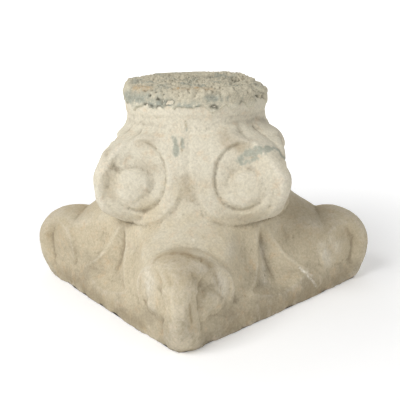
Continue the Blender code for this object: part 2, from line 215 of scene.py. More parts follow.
class CapitalStone(bpy.types.PropertyGroup):
    """Sizes and colours of the carved stone."""
    abacus_side: length("Abacus side", 0.430, "Side of the square abacus")
    fascia_height: length("Fascia height", 0.030, "Height of the abacus' plain edge")
    fascia_set: length("Fascia set", 0.003, "How far the fascia stands inside the abacus' side")
    corner_wear: length("Corner wear", 0.016, "Length lost at each corner of the abacus")
    bed_height: length("Bed height", STONE_HIGH[2], "Height of the neck's bed")
    neck_radius: length("Neck radius", 0.1205, "Radius of the neck")
    astragal_radius: length("Astragal radius", 0.1219, "Radius of the ring round the neck")
    astragal_height: length("Astragal height", 0.023, "Height of the ring round the neck")
    groove_depth: length("Groove depth", 0.0010, "Depth of the groove under the ring")
    groove_height: length("Groove height", 0.306, "Height of that groove above the floor")
    leaf_height: length("Leaf height", 0.133, "Height at which the leaves part")
    leaf_root: length("Leaf root", 0.159, "Depth of the leaves where they part")
    leaf_foot: length("Leaf foot", 0.205, "Depth of the leaves where they meet the fascia")
    crease_reach: length("Crease reach", 0.206, "Reach of the crease above a corner volute")
    valley_depth: length("Valley depth", 0.018, "Depth of the hollow between two leaves")
    valley_half: length("Valley half width", 0.062, "Half the width of that hollow at its foot")
    face_reach: length("Face reach", 0.147, "Reach of the upper volutes' faces")
    eye_aside: length("Eye aside", 0.090, "Distance of an eye from its diagonal")
    eye_height: length("Eye height", 0.203, "Height of the upper volutes' eyes")
    crest_radius: length("Crest radius", 0.074, "Radius of the rim's outline seen from its side")
    crest_centre: length("Crest centre", 0.135, "Depth of the middle of that outline")
    rim_half: length("Rim half width", 0.0132, "Half the width of the rim between two faces")
    seam_depth: length("Seam depth", 0.0040, "Depth of the seam between a face and the rim")
    coil_half: length("Coil half width", 0.094, "Half the width of the bands' lower outline")
    coil_drop: length("Coil drop", 0.084, "Drop of that outline")
    coil_level: length("Coil level", 0.222, "Height from which that outline drops")
    band_proud: length("Band proud", 0.0065, "How far the bands stand in front of the bell")
    rim_swell: length("Rim swell", 0.009, "How much further the right rim stands out")
    spiral_depth: length("Spiral depth", 0.0076, "Depth of the spiral groove")
    spiral_width: length("Spiral width", 0.0060, "Width of the groove's wall")
    disc_swell: length("Disc swell", 0.003, "Swell of a volute's middle")
    corner_face: length("Corner face", 0.206, "Depth of the corner volutes' faces")
    corner_along: length("Corner along", 0.148, "Distance of their eyes from a side's middle")
    corner_level: length("Corner level", 0.064, "Height of their eyes")
    corner_radius: length("Corner radius", 0.046, "Radius of their faces")
    nose_reach: length("Nose reach", 0.306, "Reach of the corner volutes' rims")
    roll_reach: length("Roll reach", 0.236, "Reach of the rims' middle")
    roll_radius: length("Roll radius", 0.067, "Radius of the rims' outline")
    corner_groove: length("Corner groove", 0.006, "Depth of the corner volutes' groove")
    voxel: length("Fineness", 0.0020, "Size of the finest feature that is kept")
    faces: IntProperty(name="Faces", description="Triangles left in the carved stone", default=190000)
    wear: length("Wear", 0.0011, "Depth of the wear that runs over the whole surface")
    pitting: length("Pitting", 0.0007, "Depth of the small pits")
    cream: colour("Cream", 0xD2CBB8, "Clean stone on the neck and the upper volutes")
    tan: colour("Tan", 0xC6BAA0, "Weathered stone on the leaves")
    umber: colour("Umber", 0xA0957F, "Darker stone towards the floor")
    # Soil darkens the hollows: dirt, and painted shade in recesses
    soil_and_shade: colour("Soil", 0x6E5F49, "Dirt and painted shade in hollows")
    # Chalk also paints highlights on faces turned to the light
    chalk_and_highlight: colour("Chalk", 0xE9E4D6, "Rubbed edges and painted highlights")
    # Umber makes the stone darker towards the floor
    rust: colour("Rust", 0xC9A67C, "Warm iron staining")
    # Stain is brown dirt and painted shade
    stain_and_shade: colour("Stain", 0x8F7C5C, "Brown dirt above the front volute and on the rims")
    smear: colour("Smear", 0xA3A597, "Thin grey smears of mortar")


class CapitalMortar(bpy.types.PropertyGroup):
    """Sizes and colours of the old mortar."""
    radius: length("Crust radius", 0.1205, "Mean radius of the crust on the bed")
    thickness: length("Crust thickness", 0.0215, "Mean thickness of the crust")
    tilt: FloatProperty(name="Tilt", description="Share by which the crust thickens to the back",
                        default=0.45, min=0.0, max=1.0)
    thick_side: FloatProperty(name="Thick side", description="Direction in which it is thickest",
                              default=radians(150), subtype="ANGLE")
    drape: length("Drape", 0.017, "How far the crust hangs down the neck at the front")
    front: FloatProperty(name="Front", description="Direction in which it hangs furthest",
                         default=radians(-45), subtype="ANGLE")
    lumps: length("Lumps", 0.0042, "Height of the trowelled lumps")
    grit: length("Grit", 0.0010, "Height of the sand that shows")
    tear: length("Tear", 0.0070, "Depth of the torn holes")
    lime: colour("Lime", 0xCBC3AD, "Pale lime mortar")
    slate: colour("Slate", 0xA4A699, "Grey-green cement in the mortar")
    # Shade is painted shade and dirt in the mortar's holes and hollows
    shade: colour("Shade", 0x6F6D60, "Dirt and painted shade in the mortar's holes")
    warm: colour("Warm", 0xC2AA88, "Warm lime where rust has washed in")
    wash: colour("Wash", 0xD6D0BC, "Thin mortar on the neck, almost the stone's own colour")


class CapitalStage(bpy.types.PropertyGroup):
    """Camera, light and floor."""
    azimuth: FloatProperty(name="Azimuth", description="Camera's turn round the object",
                           default=radians(50.93), subtype="ANGLE")
    distance: length("Distance", 0.98448, "Camera's distance from the axis")
    height: length("Height", 0.41615, "Camera's height")
    aim: length("Aim", 0.142, "Height that the camera looks at")
    shift: length("Shift", 0.00307, "Sideways offset of the point looked at")
    roll: FloatProperty(name="Roll", description="Camera's roll", default=-0.0253, subtype="ANGLE")
    lens: FloatProperty(name="Lens", description="Focal length in millimetres", default=50.4,
                        min=1.0, subtype="DISTANCE_CAMERA")
    key: FloatProperty(name="Key light", description="Power of the large light at the left",
                       default=26.0, min=0.0, unit="POWER")
    fill: FloatProperty(name="Fill light", description="Power of the light at the right",
                        default=5.0, min=0.0, unit="POWER")
    sky: FloatProperty(name="Surround", description="Strength of the light from all round",
                       default=0.34, min=0.0)
    floor: colour("Floor", 0xFAFAFA, "Floor and backdrop")
    paper: length("Paper", 1.8, "Reach of the flat floor before the paper curves up")
    glow: FloatProperty(name="Glow", description="Light coming through the paper near the object",
                        default=0.12, min=0.0)


def curve(x, points):
    """Smooth line through a few (x, y) points."""
    pts = sorted(points)
    px = np.array([p[0] for p in pts])
    py = np.array([p[1] for p in pts])
    slope = np.gradient(py, px)
    x = np.clip(x, px[0], px[-1])
    i = np.clip(np.searchsorted(px, x) - 1, 0, len(px) - 2)
    h = px[i + 1] - px[i]
    t = (x - px[i]) / h
    return ((2 * t**3 - 3 * t**2 + 1) * py[i] + (t**3 - 2 * t**2 + t) * h * slope[i]
            + (3 * t**2 - 2 * t**3) * py[i + 1] + (t**3 - t**2) * h * slope[i + 1])


def step(x, low, high):
    t = np.clip((x - low) / (high - low), 0.0, 1.0)
    return t * t * (3 - 2 * t)


def soft_min(a, b, k):
    h = np.maximum(k - np.abs(a - b), 0.0) / k
    return np.minimum(a, b) - h * h * k / 4


def soft_max(a, b, k):
    return -soft_min(-a, -b, k)


def side_depth(s, z):
    """Depth of the leaves' side faces, a long cavetto from the bell to the abacus."""
    half, swell = s.abacus_side / 2, s.leaf_foot - s.leaf_root
    return curve(z, [
        (0.0, half - s.fascia_set), (s.fascia_height, half - s.fascia_set - 0.002),
        (s.fascia_height + 0.012, s.leaf_foot), (0.058, s.leaf_root + 0.78 * swell),
        (0.080, s.leaf_root + 0.50 * swell), (0.101, s.leaf_root + 0.25 * swell),
        (s.leaf_height, s.leaf_root), (0.145, s.leaf_root - 0.008), (0.170, s.leaf_root - 0.013),
        (0.200, s.leaf_root - 0.018), (0.235, s.neck_radius + 0.012),
        (0.270, s.neck_radius + 0.002), (0.290, s.neck_radius),
        (s.bed_height + 0.02, s.neck_radius)])


def diagonal_reach(s, z):
    """Reach of the leaves' backs, down to the crease where the corner volutes start."""
    return curve(z, [
        (0.0, s.abacus_side / 2 * ROOT2 - s.corner_wear), (0.050, 0.284), (0.090, 0.262),
        (0.115, s.crease_reach + 0.024), (0.131, s.crease_reach), (0.142, s.crease_reach - 0.015),
        (0.155, 0.171), (0.170, 0.158), (0.190, 0.148), (0.215, 0.140), (0.250, 0.130),
        (0.275, s.neck_radius + 0.002), (0.290, s.neck_radius),
        (s.bed_height + 0.02, s.neck_radius)])


def body_radius(s, turn, z):
    """Radius of neck, bell, leaves and abacus; turn is the angle from the nearest side."""
    side = side_depth(s, z)
    # Behind the corner volutes the side comes out to meet their faces
    toward = step(side * np.tan(turn), 0.045, 0.105) * step(z, 0.030, 0.042)
    toward = toward * step(-z, -0.150, -0.112)
    side = side + np.maximum(s.corner_face - 0.004 - side, 0) * toward
    ratio = np.maximum(ROOT2 * side / diagonal_reach(s, z), 1.012)
    power = np.clip(log(2) / np.log(ratio), 2.0, 60.0)
    radius = side / (np.cos(turn)**power + np.sin(turn)**power)**(1 / power)
    along = side * np.tan(turn)
    wide = s.valley_half
    half = curve(z, [
        (s.fascia_height - 0.001, 0.0002), (0.035, 0.50 * wide), (0.041, 0.80 * wide),
        (0.047, wide), (0.058, 0.79 * wide), (0.082, 0.44 * wide), (0.101, 0.30 * wide),
        (s.leaf_height - 0.006, 0.11 * wide), (s.leaf_height + 0.003, 0.0002)])
    deep = curve(z, [
        (s.fascia_height - 0.001, 0.0), (0.036, 0.4 * s.valley_depth),
        (0.046, 0.8 * s.valley_depth), (0.062, s.valley_depth), (0.080, 0.95 * s.valley_depth),
        (0.100, 0.7 * s.valley_depth), (s.leaf_height + 0.003, 0.0)])
    inside = np.clip(1 - along / half, 0.0, 1.0)
    ridge = np.exp(-((along - half - 0.004) / 0.0055)**2) * np.clip(deep / s.valley_depth, 0, 1)
    radius = radius + (0.0030 * ridge - deep * inside**0.8) / np.cos(turn)
    ring = np.clip(1 - ((z - s.groove_height - 0.013) / (s.astragal_height / 2))**2, 0, 1)
    radius = radius + (s.astragal_radius - s.neck_radius) * np.sqrt(ring)
    return radius - s.groove_depth * np.exp(-((z - s.groove_height) / 0.0025)**2)


def spiral(turns, outer):
    """Radius of a volute's groove after a number of turns from its top."""
    return outer * curve(turns, [
        (0.0, 1.0), (0.06, 0.99), (0.12, 0.905), (0.20, 0.77), (0.28, 0.675), (0.36, 0.60),
        (0.45, 0.52), (0.55, 0.44), (0.70, 0.415), (0.85, 0.415), (1.0, 0.40), (1.12, 0.41),
        (1.20, 0.40), (1.30, 0.315), (1.40, 0.24), (1.60, 0.15), (2.0, 0.10)])


def spiral_relief(across, up, outer, depth, wall):
    """Relief of a spiral channel: deepest at the foot of the raised eye, it rises outwards to a
    fine incised line, and runs out where it meets itself."""
    rho = np.hypot(across, up)
    turns = np.mod(np.arctan2(-across, up) / (2 * pi), 1.0)
    sunk = [(0.83, 0.0), (0.93, 0.8), (1.0, 0.95), (1.22, 1.0), (1.32, 0.5), (1.45, 0.0)]
    line = [(0.0, 0.35), (0.20, 0.55), (0.35, 0.60), (0.50, 0.65), (0.60, 0.50), (0.72, 0.15),
            (0.95, 0.05)]
    far = outer / np.maximum(np.cos(2 * pi * (1 - turns)), 0.3)
    near = spiral(turns, outer)
    fall = curve(turns, line) * np.exp(-((rho - near) / (0.6 * wall))**2)
    for inside, outside, low in ((spiral(turns + 1, outer), near, curve(turns + 1, sunk)),
                                 (near, far, curve(turns, sunk))):
        along = np.clip((rho - inside) / (outside - inside + 1e-6), 0, 1)
        channel = low * (1 - 0.5 * along) * step(rho - inside, -0.6 * wall, 0.6 * wall)
        fall = fall + channel * (1 - step(rho - outside, -0.5 * wall, 0.5 * wall))
    # The eye's own worn curl, a fine line only
    curl = np.exp(-((rho - outer * (0.26 + 0.10 * turns)) / (0.35 * wall))**2)
    fall = fall + 0.20 * curl * step(turns, 0.10, 0.30) * (1 - step(turns, 0.80, 0.95))
    return -depth * np.clip(fall, 0, 1.1)


def crest_depth(s, z):
    """Depth of the rim between two faces, a roll that overhangs the leaves a little."""
    size = s.crest_radius
    rise = (z - s.eye_height) / size
    return s.crest_centre + size * curve(rise, [
        (-0.90, 0.22), (-0.80, 0.46), (-0.69, 0.65), (-0.58, 0.78), (-0.45, 0.875),
        (-0.30, 0.945), (-0.10, 0.985), (0.12, 0.99), (0.28, 0.965), (0.40, 0.89), (0.57, 0.77),
        (0.73, 0.65), (0.80, 0.54), (0.88, 0.40), (0.97, 0.20), (1.08, 0.02)])


def upper_radius(s, turn, z, body, angle):
    """Radius of the upper volutes' faces and rims, or of the body where they have ended."""
    # The right face of the front pair is a little smaller, the right rim fuller, and the face
    # beyond that rim stands proud at its top
    right = (np.abs(angle + pi / 8) < pi / 8).astype(float)
    fuller = s.rim_swell * np.exp(-(angle / 0.40)**2) * np.exp(-((z - 0.212) / 0.034)**2)
    swing = pi / 4 - turn
    crest = crest_depth(s, z) + fuller * (z > 0.14)
    rim = s.rim_half * curve(z, [
        (0.135, 2.2), (0.157, 1.45), (0.172, 1.17), (0.190, 1.0), (0.210, 1.05), (0.230, 1.15),
        (0.247, 1.4), (0.262, 1.6), (0.280, 1.4)])
    plane = curve(z, [
        (0.120, s.face_reach - 0.030), (0.145, s.face_reach - 0.012), (0.158, s.face_reach - 0.003),
        (0.175, s.face_reach + 0.002), (s.eye_height, s.face_reach), (0.235, s.face_reach - 0.006),
        (0.265, s.face_reach - 0.016), (0.290, s.neck_radius + 0.002)])
    far = (np.abs(angle - pi / 8) < pi / 8) * step(swing, 0.12, 0.28)
    plane = plane + far * curve(z, [(0.210, 0.0), (0.222, 0.002), (0.235, 0.010), (0.247, 0.018),
                                    (0.258, 0.019), (0.271, 0.017), (0.283, 0.009), (0.291, 0.0)])
    proud = s.band_proud * (0.2 * step(-z, -0.275, -0.215) + 0.8 * step(-z, -0.225, -0.170))
    aside = plane * np.tan(swing)
    for _ in range(3):
        edge = plane - ROOT2 * rim
        limit = np.maximum(ROOT2 * crest - aside, body * np.cos(swing)) + 0.003
        front = soft_max(plane, (body + proud) * np.cos(swing), 0.006)
        front = soft_min(front, limit, 0.010)
        aside = front * np.tan(swing)
    # The bands end below on an oval that is wider on the side of the diagonal
    drop = np.minimum(z - s.coil_level, 0) / s.coil_drop
    past = aside - 0.098
    inside = np.hypot(past / np.where(past < 0, s.coil_half, 0.078), drop)
    cover = step((1 - inside) * s.coil_drop, -0.001, 0.005)
    cover = np.maximum(cover, step(z, 0.180, 0.212) * (aside < 0.05))
    across = aside - s.eye_aside - 0.002 * right
    groove = spiral_relief(across, z - s.eye_height + 0.003, 0.074 - 0.006 * right,
                           s.spiral_depth, s.spiral_width)
    fade = step(edge - aside, -0.003, 0.004) * step(-z, -0.292, -0.276)
    away = np.hypot(across, z - s.eye_height)
    front = front + groove * fade + s.disc_swell * step(-away, -0.034, -0.006)
    # A shallow line runs down between two spirals
    middle = np.exp(-(aside / 0.0035)**2) * step(z, 0.18, 0.20) * step(-z, -0.30, -0.28)
    front = front - 0.0020 * middle
    face = front / np.cos(swing)
    out, off = face * np.cos(turn), face * np.sin(turn)
    round_off = np.sqrt(np.clip(1 - (off / rim)**2, 0, 1))
    bead = crest - s.rim_half * (1 - round_off) - 2.5 * np.maximum(off - rim, 0)
    shown = crest > s.crest_centre + 0.001
    radius = np.where(shown, soft_max(bead / np.cos(turn), face, 0.003), face)
    radius = radius - s.seam_depth * np.exp(-((off - rim) / 0.0019)**2) * shown
    whole = body + (radius - body) * cover * step(-z, -0.298, -0.276)
    fits = (z > s.leaf_height + 0.001) & (z < 0.298) & (out > 0)
    return np.where(fits, np.maximum(whole, body), body)


def closed_mesh(name, rings):
    """Closed body through rings of points, with a flat end on the first and the last ring."""
    rows, cols = rings.shape[:2]
    low = np.arange(rows - 1)[:, None] * cols
    here, after = np.arange(cols), (np.arange(cols) + 1) % cols
    quads = np.stack([low + here, low + after, low + cols + after, low + cols + here], axis=2)
    faces = quads.reshape(-1, 4).tolist()
    faces.append(list(range(cols - 1, -1, -1)))
    faces.append([(rows - 1) * cols + c for c in range(cols)])
    mesh = bpy.data.meshes.new(name)
    mesh.from_pydata(rings.reshape(-1, 3).tolist(), [], faces)
    mesh.update()
    return mesh


def core_rings(s):
    """Rings of the neck, bell, upper volutes, leaves and abacus, from just below the floor to just
    above the neck's bed."""
    z = np.arange(-0.008, s.bed_height + 0.008, 0.75 * s.voxel)
    angle = np.linspace(0, 2 * pi, 640, endpoint=False)
    fold = np.abs(np.mod(angle + pi / 4, pi / 2) - pi / 4)
    turn, level = np.meshgrid(fold, z)
    body = body_radius(s, turn, np.clip(level, 0, None))
    radius = upper_radius(s, turn, level, body, np.mod(angle + pi, 2 * pi)[None, :] - pi)
    return np.stack([radius * np.cos(angle), radius * np.sin(angle), level], axis=2)


def corner_rings(s, quarter):
    """Corner volute: two coil faces on the leaf's sides and a rounded rim between them."""
    psi = np.linspace(0, 2 * pi, 160, endpoint=False)
    # Share of the groove that wear has left at the front, right, back and left corners
    unworn = (0.65, 0.45, 0.5, 0.25)[quarter]

    def place(depth, along, up):
        return (depth + along) / ROOT2, (depth - along) / ROOT2, up

    faces = []
    for side in (1, -1):
        face = []
        for share in np.concatenate([np.linspace(0.04, 0.96, 24), [1.0]]):
            ahead = np.where(np.cos(psi) > 0, 0.70, 1.0)
            across = s.corner_radius * share * np.cos(psi) * ahead
            up = s.corner_radius * share * np.sin(psi)
            relief = spiral_relief(across, up, 0.050, unworn * s.corner_groove, 0.004)
            bulge = 0.003 * (1 - share**2)
            reach, aside, level = place(s.corner_face + bulge + relief * (share < 0.99),
                                        s.corner_along + across, s.corner_level + up)
            face.append(np.stack([reach, side * aside, level], axis=1))
        faces.append(face)
    edge = faces[0][-1]
    full = np.where(np.sin(psi) < 0, 0.32, 1.0)
    ahead = np.sign(np.cos(psi)) * np.abs(np.cos(psi))**full
    mid_reach = s.roll_reach + (s.nose_reach - s.roll_reach) * ahead
    mid_level = s.corner_level + s.roll_radius * np.sin(psi)
    rim = []
    for tau in np.linspace(-pi / 2, pi / 2, 40)[1:-1]:
        reach = edge[:, 0] + (mid_reach - edge[:, 0]) * np.cos(tau)**0.65
        level = edge[:, 2] + (mid_level - edge[:, 2]) * np.cos(tau)
        rim.append(np.stack([reach, -edge[:, 1] * np.sin(tau), level], axis=1))
    pts = np.array(faces[0] + rim + faces[1][::-1])
    heading = -pi / 4 + quarter * pi / 2
    x = pts[..., 0] * cos(heading) - pts[..., 1] * sin(heading)
    y = pts[..., 0] * sin(heading) + pts[..., 1] * cos(heading)
    return np.stack([x, y, pts[..., 2]], axis=2)


def join_meshes(name, meshes):
    verts, faces, start = [], [], 0
    for mesh in meshes:
        verts += [tuple(v.co) for v in mesh.vertices]
        faces += [tuple(start + i for i in p.vertices) for p in mesh.polygons]
        start += len(mesh.vertices)
        bpy.data.meshes.remove(mesh)
    whole = bpy.data.meshes.new(name)
    whole.from_pydata(verts, [], faces)
    whole.update()
    return whole


def add_object(name, mesh):
    piece = bpy.data.objects.new(name, mesh)
    bpy.context.scene.collection.objects.link(piece)
    return piece


def settle(piece):
    """Replace the piece's mesh by what its modifiers make of it."""
    bpy.context.view_layer.update()
    shown = piece.evaluated_get(bpy.context.evaluated_depsgraph_get())
    mesh = bpy.data.meshes.new_from_object(shown)
    piece.modifiers.clear()
    old, piece.data = piece.data, mesh
    bpy.data.meshes.remove(old)


def points_of(mesh):
    """Positions and normals of a mesh's vertices as arrays."""
    at = np.empty(len(mesh.vertices) * 3)
    mesh.vertices.foreach_get("co", at)
    out = np.empty(len(mesh.vertices) * 3)
    mesh.vertices.foreach_get("normal", out)
    return at.reshape(-1, 3), out.reshape(-1, 3)


def put_points(mesh, at):
    mesh.vertices.foreach_set("co", at.astype(np.float32).ravel())
    mesh.update()


def grain(at, size, octaves=3, seed=0.0):
    """Fractal noise, about -1 to 1, with features of the given size at each point."""
    shift = Vector((seed * 7.13, seed * 3.71, seed * 5.37))
    return np.array([noise.fractal(Vector(p) / size + shift, 0.9, 2.0, octaves) for p in at])


def softened(mesh, at, times):
    """Positions averaged with their neighbours a number of times."""
    ends = np.empty(len(mesh.edges) * 2, dtype=np.int64)
    mesh.edges.foreach_get("vertices", ends)
    a, b = ends.reshape(-1, 2).T
    count = np.bincount(np.concatenate([a, b]), minlength=len(at))[:, None]
    for _ in range(times):
        total = np.stack([np.bincount(a, at[b, k], len(at)) + np.bincount(b, at[a, k], len(at))
                          for k in range(at.shape[1])], axis=1)
        at = 0.4 * at + 0.6 * total / count
    return at


def hollows(mesh, at, out, times):
    """How far each point lies below (positive) or above its softened surroundings."""
    return ((softened(mesh, at, times) - at) * out).sum(axis=1)


def near_line(at, start, end, half):
    """1 on a short line, about a third at its half width and almost nothing at twice that."""
    start, run = np.array(start), np.array(end) - np.array(start)
    share = np.clip((at - start) @ run / (run @ run), 0, 1)
    away = np.linalg.norm(at - start - share[:, None] * run, axis=1)
    return np.exp(-(away / half)**2)


def marked(kind, at):
    """Strength of the marks of one kind at each point. Cuts add up, as a depth in millimetres, and
    of other marks the strongest counts."""
    total = np.zeros(len(at))
    for half, strength, start, end in MARKS[kind]:
        share = strength * near_line(at / MM, start, end, half)
        total = total + share if kind == "cut" else np.maximum(total, share)
    return total


def keep_number(mesh, name, values):
    mesh.attributes.new(name, "FLOAT", "POINT").data.foreach_set("value",
                                                                values.astype(np.float32))


def add_node(tree, kind, links=None, **settings):
    """Add a node; links maps its inputs to sockets, nodes or values, settings are its own fields.
    A node stands for its first output in use, and a colour gets its alpha here."""
    new = tree.nodes.new("ShaderNode" + kind)
    for field, value in settings.items():
        setattr(new, field, value)
    for key, value in (links or {}).items():
        socket = new.inputs[key]
        if isinstance(value, bpy.types.Node):
            value = next(output for output in value.outputs if output.enabled)
        if isinstance(value, bpy.types.NodeSocket):
            tree.links.new(value, socket)
        elif socket.type == "RGBA":
            socket.default_value = (*value, 1.0)
        else:
            socket.default_value = value
    return new


def dress(tree, tone, fleck, bump, finish):
    """Give the shader its colour times a fine fleck, its bump and its other values."""
    shader = tree.nodes["Principled BSDF"]
    shade = add_node(tree, "VectorMath", {0: tone, 3: fleck}, operation="SCALE")
    tree.links.new(shade.outputs[0], shader.inputs["Base Color"])
    tree.links.new(bump.outputs[0], shader.inputs["Normal"])
    for name, value in finish.items():
        shader.inputs[name].default_value = value


def limestone(s):
    """Weathered limestone, sawn and carved, rubbed by hands and rain: matt, chalky on its edges,
    darker and browner in the hollows and towards the floor, with a fine sandy grain. The darkening
    in hollows, under ledges and on the right flank is partly painted shade, and some faces turned
    to the light carry painted highlights."""
    mat = bpy.data.materials.new("weathered carved limestone")
    mat.use_nodes = True
    tree = mat.node_tree
    place = add_node(tree, "TexCoord").outputs["Object"]
    height = add_node(tree, "SeparateXYZ", {0: place}).outputs["Z"]
    # Blotches of 55 mm and clouds of 18 mm. Real grit of 0.3 to 0.5 mm is too fine to show, so
    # clusters of 3.4 mm are drawn
    blotch, cloud, grit = (
        add_node(tree, "TexNoise", {"Vector": place, "Scale": 1 / size, "Detail": detail,
                                    "Roughness": rough})
        for size, detail, rough in ((0.055, 5.0, 0.62), (0.018, 6.0, 0.7), (0.0034, 4.0, 0.7)))
    pores = add_node(tree, "TexVoronoi", {"Vector": place, "Scale": 1 / 0.006, "Randomness": 1.0})
    # The stain attribute carries brown dirt and painted shade, the rubbed one chalk scratches and
    # painted highlights
    hollow, stain_and_shade, film, rubbed = (
        add_node(tree, "Attribute", attribute_name=name).outputs["Fac"]
        for name in ("hollow", "stain_and_shade", "film", "rubbed"))
    spread = height
    for noise_node, reach in ((cloud, 0.015), (blotch, 0.05)):
        wave = add_node(tree, "MapRange", dict(zip(RANGE, (noise_node, 0.3, 0.7, -reach, reach))),
                        interpolation_type="SMOOTHSTEP")
        spread = add_node(tree, "Math", {0: spread, 1: wave}, operation="ADD")
    # The hollows are darkened with dirt and painted shade, and the stone is darker towards the floor
    ranges = {
        "clean": (spread, 0.08, 0.24, 0.0, 1.0), "above floor": (spread, -0.02, 0.085, 0.25, 1.0),
        "rusty": (cloud, 0.50, 0.72, 0.0, 0.30), "uneven": (cloud, 0.25, 0.6, 0.5, 1.0),
        "hollow_dirt_and_shade": (hollow, 0.0002, 0.0028, 0.0, 0.50), "edge": (hollow, -0.0004, -0.0024, 0.0, 0.22),
        "bare": (cloud, 0.35, 0.6, 0.0, 1.0), "pore": (pores, 0.16, 0.05, 0.0, 0.45),
        "open": (cloud, 0.5, 0.62, 0.0, 1.0), "smeared": (film, 0.15, 0.85, 0.0, 0.9),
        "fleck": (grit, 0.32, 0.68, 0.86, 1.06)}
    share = {name: add_node(tree, "MapRange", dict(zip(RANGE, row)),
                            interpolation_type="SMOOTHSTEP") for name, row in ranges.items()}
    stain_and_shade_share, chalky, speckled = (
        add_node(tree, "Math", {0: first, 1: second}, operation="MULTIPLY")
        for first, second in ((stain_and_shade, share["uneven"]), (share["edge"], share["bare"]),
                              (share["pore"], share["open"])))
    tone = add_node(tree, "Mix", {"Factor": share["clean"], 6: s.tan, 7: s.cream},
                    data_type="RGBA")
    tone = add_node(tree, "Mix", {"Factor": share["above floor"], 6: s.umber, 7: tone},
                    data_type="RGBA")
    # Soil and stain here include painted shade, and chalk on the rubbed marks painted highlights
    for shade, amount in ((s.rust, share["rusty"]), (s.stain_and_shade, stain_and_shade_share), (s.soil_and_shade, share["hollow_dirt_and_shade"]),
                          (s.chalk_and_highlight, chalky), (s.soil_and_shade, speckled), (s.smear, share["smeared"]),
                          (s.chalk_and_highlight, rubbed)):
        tone = add_node(tree, "Mix", {"Factor": amount, 6: tone, 7: shade}, data_type="RGBA")
    rough = add_node(tree, "Math", {0: cloud, 1: 0.6}, operation="MULTIPLY")
    relief = add_node(tree, "Math", {0: grit, 1: rough}, operation="ADD")
    bump = add_node(tree, "Bump", {"Height": relief, "Strength": 0.35, "Distance": 0.0018})
    dress(tree, tone, share["fleck"], bump,
          {"Roughness": 0.93, "IOR": 1.5, "Specular IOR Level": 0.25})
    return mat


def lime_mortar(m):
    """Old lime and cement mortar, trowelled and torn: matt, sandy, grey-green where it is
    dense and cream where the lime has washed out, dark in its holes."""
    mat = bpy.data.materials.new("torn lime mortar")
    mat.use_nodes = True
    tree = mat.node_tree
    place = add_node(tree, "TexCoord").outputs["Object"]
    # Patches of 30 mm, and sand of about 1 mm, drawn at 2 mm so that it shows
    patch, sand = (
        add_node(tree, "TexNoise", {"Vector": place, "Scale": 1 / size, "Detail": detail,
                                    "Roughness": rough})
        for size, detail, rough in ((0.030, 5.0, 0.65), (0.002, 4.0, 0.75)))
    washed, dense, warm, torn, hollow = (
        add_node(tree, "Attribute", attribute_name=name).outputs["Fac"]
        for name in ("washed", "dense", "warm", "torn", "hollow"))
    grey, dark, fleck = (
        add_node(tree, "MapRange", dict(zip(RANGE, row)), interpolation_type="SMOOTHSTEP")
        for row in ((patch, 0.50, 0.66, 0.0, 0.8), (hollow, 0.0002, 0.0018, 0.0, 0.75),
                    (sand, 0.3, 0.7, 0.78, 1.15)))
    tone = add_node(tree, "Mix", {"Factor": grey, 6: m.lime, 7: m.slate}, data_type="RGBA")
    # Shade in the holes and hollows is painted shade and dirt
    for shade, amount in ((m.wash, washed), (m.slate, dense), (m.warm, warm), (m.shade, torn),
                          (m.shade, dark)):
        tone = add_node(tree, "Mix", {"Factor": amount, 6: tone, 7: shade}, data_type="RGBA")
    bump = add_node(tree, "Bump", {"Height": sand, "Strength": 0.8, "Distance": 0.0015})
    dress(tree, tone, fleck, bump, {"Roughness": 0.95, "IOR": 1.5, "Specular IOR Level": 0.2})
    return mat


def white_paper(g):
    """Background paper: matt and even, and lit from behind further out, so that it burns out to
    white there."""
    mat = bpy.data.materials.new("matt white paper")
    mat.use_nodes = True
    tree = mat.node_tree
    shader = tree.nodes["Principled BSDF"]
    shader.inputs["Base Color"].default_value = (*g.floor, 1.0)
    shader.inputs["Roughness"].default_value = 0.95
    place = add_node(tree, "TexCoord").outputs["Object"]
    away = add_node(tree, "VectorMath", {0: place}, operation="LENGTH")
    glow = add_node(tree, "MapRange", dict(zip(RANGE, (away, 0.35, 1.5, g.glow, 0.6))))
    shader.inputs["Emission Color"].default_value = (1.0, 1.0, 1.0, 1.0)
    tree.links.new(glow.outputs[0], shader.inputs["Emission Strength"])
    return mat


def weather(s, at, out):
    """How wear moves each point: soft waves, pits, bruises on the abacus and the marked cuts."""
    wave = grain(at, 0.050, 4, 1.0)
    fine = grain(at, 0.011, 3, 2.0)
    pit = grain(at, 0.0045, 2, 3.0)
    move = s.wear * (0.9 * wave + 0.35 * fine) - s.pitting * np.clip(pit - 0.15, 0, 1) * 2.2
    half = s.abacus_side / 2
    far = np.max(np.abs(at[:, :2]), axis=1)
    low = step(-at[:, 2], -0.034, -0.012) * step(far, half - 0.03, half - 0.008)
    foot = step(-at[:, 2], -0.016, -0.004) * step(far, half - 0.02, half - 0.004)
    bruise = grain(at * np.array([1, 1, 0.35]), 0.024, 4, 4.0)
    worn = low * 0.0022 * np.clip(bruise + 0.2, 0, 1.2) + foot * 0.0016 * np.clip(
        bruise + 0.35, 0, 1.3)
    move = move - MM * marked("cut", at) * (1 + 0.3 * fine)
    # Near the floor it moves them sideways only, so that the underside stays flat
    way = out.copy()
    way[:, 2] *= step(at[:, 2], 0.004, 0.020)
    return way * (move - worn)[:, None]


